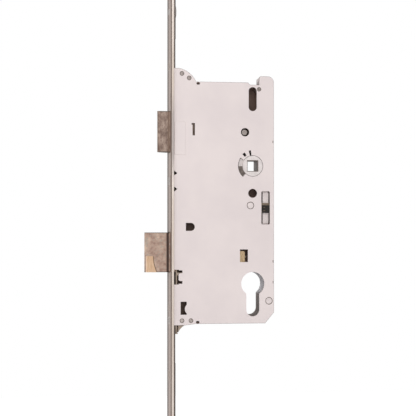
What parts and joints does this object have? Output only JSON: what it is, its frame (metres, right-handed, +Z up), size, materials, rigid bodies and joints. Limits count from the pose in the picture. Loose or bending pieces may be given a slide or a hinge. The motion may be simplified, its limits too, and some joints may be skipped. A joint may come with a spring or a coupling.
{
  "type": "multipoint door lock",
  "caption": "Multipoint door lock: a long narrow faceplate with a mortice case, spring latch, deadbolt, spindle follower and sliding rods that carry roller cams.",
  "frame": {"origin": "on the faceplate's front face, on its centre line, level with the spindle's axis", "axes": "+X into the door leaf, away from the faceplate's front; +Y across the case, from its cover to its base; +Z up along the faceplate"},
  "size_m": [0.1019, 0.02, 1.61],
  "materials": {
    "faceplate_steel": "satin warm plating",
    "case_steel": "matte pale zinc coat",
    "rod_steel": "dull zinc plating",
    "bolt_steel": "satin warm plating",
    "gear_brass": "machined",
    "selector_plastic": "moulded black",
    "plain_steel": "bright zinc plating",
    "insert_steel": "hardened, ground"
  },
  "bodies": {
    "lock": {"faceplate": "faceplate_steel", "case_cover": "case_steel", "case_base": "case_steel", "case_rivets": "case_steel", "case_pillars": "case_steel", "tail_stud": "plain_steel", "middle_bracket": "bolt_steel", "bottom_bracket": "bolt_steel", "case_screws": "plain_steel", "guide_rivets": "plain_steel", "latch_guides": "bolt_steel", "deadbolt_guides": "bolt_steel", "latch_spring": "plain_steel", "latch_spring_seat": "plain_steel", "follower_spring": "plain_steel", "follower_spring_seat": "plain_steel", "key_gear_pin": "plain_steel", "reversing_gear_pin": "plain_steel", "selector_track": "case_steel", "gear_keeper": "gear_brass"},
    "upper_drive": {"upper_rod": "rod_steel", "upper_slide": "case_steel", "upper_roller_pins": "bolt_steel", "upper_roller_washers": "bolt_steel"},
    "lower_drive": {"lower_rod": "rod_steel", "lower_slide": "case_steel", "lower_roller_pins": "bolt_steel", "lower_roller_washers": "bolt_steel"},
    "upper_outer_cam": {"upper_outer_roller": "bolt_steel"},
    "upper_inner_cam": {"upper_inner_roller": "bolt_steel"},
    "lower_inner_cam": {"lower_inner_roller": "bolt_steel"},
    "lower_outer_cam": {"lower_outer_roller": "bolt_steel"},
    "latch": {"latch_bolt": "bolt_steel", "latch_tail": "case_steel", "latch_pins": "plain_steel"},
    "deadbolt": {"deadbolt_head": "bolt_steel", "deadbolt_insert": "insert_steel", "deadbolt_pins": "plain_steel", "deadbolt_tail": "case_steel"},
    "follower": {"follower": "case_steel", "follower_stop": "rod_steel"},
    "key_gear": {"key_gear": "gear_brass"},
    "reversing_gear": {"reversing_gear": "gear_brass"},
    "selector": {"selector_block": "selector_plastic", "selector_plate": "gear_brass"}
  },
  "joints": [
    {"name": "upper_rod_slide", "type": "slide", "parent": "lock", "child": "upper_drive", "axis": [0, 0, 1], "range_m": [-0.02, 0]},
    {"name": "lower_rod_slide", "type": "slide", "parent": "lock", "child": "lower_drive", "axis": [0, 0, 1], "range_m": [0, 0.02]},
    {"name": "deadbolt_slide", "type": "slide", "parent": "lock", "child": "deadbolt", "axis": [1, 0, 0], "range_m": [0, 0.02]},
    {"name": "key_gear_turn", "type": "hinge", "parent": "lock", "child": "key_gear", "pos_m": [0.0515, 0, -0.073], "axis": [0, 1, 0], "range_deg": [0, 143.24]},
    {"name": "reversing_gear_turn", "type": "hinge", "parent": "lock", "child": "reversing_gear", "pos_m": [0.03764, -0.00455, -0.065], "axis": [0, 1, 0], "range_deg": [-143.24, 0]},
    {"name": "latch_slide", "type": "slide", "parent": "lock", "child": "latch", "axis": [1, 0, 0], "range_m": [0, 0.0104], "stiffness_N_per_m": 400, "springref_m": -0.015, "deforming": ["latch_spring", "follower_spring"]},
    {"name": "follower_turn", "type": "hinge", "parent": "lock", "child": "follower", "pos_m": [0.065, 0, 0], "axis": [0, 1, 0], "range_deg": [0, 42]},
    {"name": "selector_slide", "type": "slide", "parent": "lock", "child": "selector", "axis": [0, 0, 1], "range_m": [-0.0088, 0.0104]},
    {"name": "upper_outer_cam_spin", "type": "hinge", "parent": "upper_drive", "child": "upper_outer_cam", "pos_m": [-0.003, 0, 0.735], "axis": [1, 0, 0], "continuous": true},
    {"name": "upper_inner_cam_spin", "type": "hinge", "parent": "upper_drive", "child": "upper_inner_cam", "pos_m": [-0.003, 0, 0.366], "axis": [1, 0, 0], "continuous": true},
    {"name": "lower_inner_cam_spin", "type": "hinge", "parent": "lower_drive", "child": "lower_inner_cam", "pos_m": [-0.003, 0, -0.402], "axis": [1, 0, 0], "continuous": true},
    {"name": "lower_outer_cam_spin", "type": "hinge", "parent": "lower_drive", "child": "lower_outer_cam", "pos_m": [-0.003, 0, -0.765], "axis": [1, 0, 0], "continuous": true}
  ],
  "couplings": [
    {"joint": "lower_rod_slide", "follows": "upper_rod_slide", "ratio": -1},
    {"joint": "deadbolt_slide", "follows": "upper_rod_slide", "ratio": -1},
    {"joint": "key_gear_turn", "follows": "upper_rod_slide", "rad_per_m": -125},
    {"joint": "reversing_gear_turn", "follows": "upper_rod_slide", "rad_per_m": 125},
    {"joint": "follower_turn", "follows": "latch_slide", "rad_per_m": 70.4}
  ]
}
